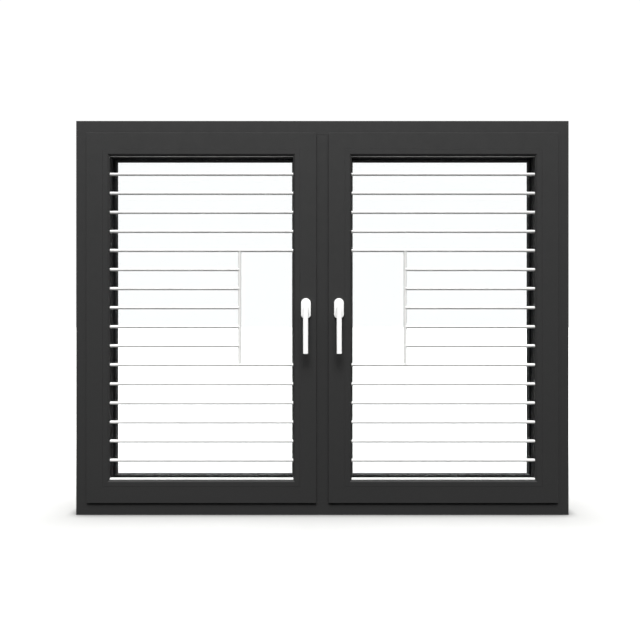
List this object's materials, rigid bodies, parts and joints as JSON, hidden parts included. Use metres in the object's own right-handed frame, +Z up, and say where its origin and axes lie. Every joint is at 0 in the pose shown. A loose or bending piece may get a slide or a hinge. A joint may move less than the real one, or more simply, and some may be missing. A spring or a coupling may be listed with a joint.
{
  "type": "double casement window",
  "caption": "Double casement window with a dark aluminium frame and mullion, sealed glass, round white rods across each sash and a lever handle on each meeting stile.",
  "frame": {"origin": "middle of the sill's underside, at half the frame's width and half its depth", "axes": "+Z up, +X to the right as seen from the room, +Y outdoors, so the room side with the handles faces -Y"},
  "size_m": [1.5, 0.123, 1.2],
  "materials": {
    "dark_powder_coat": "fine matt powder coat",
    "clear_glass": "float glass, smooth",
    "spacer_bar": "matt",
    "gasket_rubber": "matt",
    "white_rod_coat": "satin powder coat",
    "white_handle_coat": "satin powder coat"
  },
  "bodies": {
    "window": {"frame_head": "dark_powder_coat", "frame_sill": "dark_powder_coat", "frame_left_jamb": "dark_powder_coat", "frame_right_jamb": "dark_powder_coat", "mullion": "dark_powder_coat", "left_outer_stile": "dark_powder_coat", "left_meeting_stile": "dark_powder_coat", "left_top_rail": "dark_powder_coat", "left_bottom_rail": "dark_powder_coat", "left_outer_bead": "dark_powder_coat", "left_meeting_bead": "dark_powder_coat", "left_top_bead": "dark_powder_coat", "left_bottom_bead": "dark_powder_coat", "left_inner_pane": "clear_glass", "left_outer_pane": "clear_glass", "left_glass_spacer": "spacer_bar", "left_glazing_gaskets": "gasket_rubber", "left_sash_gasket": "gasket_rubber", "left_lower_rods": "white_rod_coat", "left_short_rods": "white_rod_coat", "left_upper_rods": "white_rod_coat", "left_upright_rod": "white_rod_coat", "left_handle_rosette": "white_handle_coat", "right_outer_stile": "dark_powder_coat", "right_meeting_stile": "dark_powder_coat", "right_top_rail": "dark_powder_coat", "right_bottom_rail": "dark_powder_coat", "right_outer_bead": "dark_powder_coat", "right_meeting_bead": "dark_powder_coat", "right_top_bead": "dark_powder_coat", "right_bottom_bead": "dark_powder_coat", "right_inner_pane": "clear_glass", "right_outer_pane": "clear_glass", "right_glass_spacer": "spacer_bar", "right_glazing_gaskets": "gasket_rubber", "right_sash_gasket": "gasket_rubber", "right_lower_rods": "white_rod_coat", "right_short_rods": "white_rod_coat", "right_upper_rods": "white_rod_coat", "right_upright_rod": "white_rod_coat", "right_handle_rosette": "white_handle_coat"},
    "left_lever": {"left_handle_lever": "white_handle_coat"},
    "right_lever": {"right_handle_lever": "white_handle_coat"}
  },
  "joints": [
    {"name": "left_handle_turn", "type": "hinge", "parent": "window", "child": "left_lever", "pos_m": [-0.05, -0.043, 0.63], "axis": [0, 1, 0], "range_deg": [0, 90]},
    {"name": "right_handle_turn", "type": "hinge", "parent": "window", "child": "right_lever", "pos_m": [0.05, -0.043, 0.63], "axis": [0, -1, 0], "range_deg": [0, 90]}
  ]
}
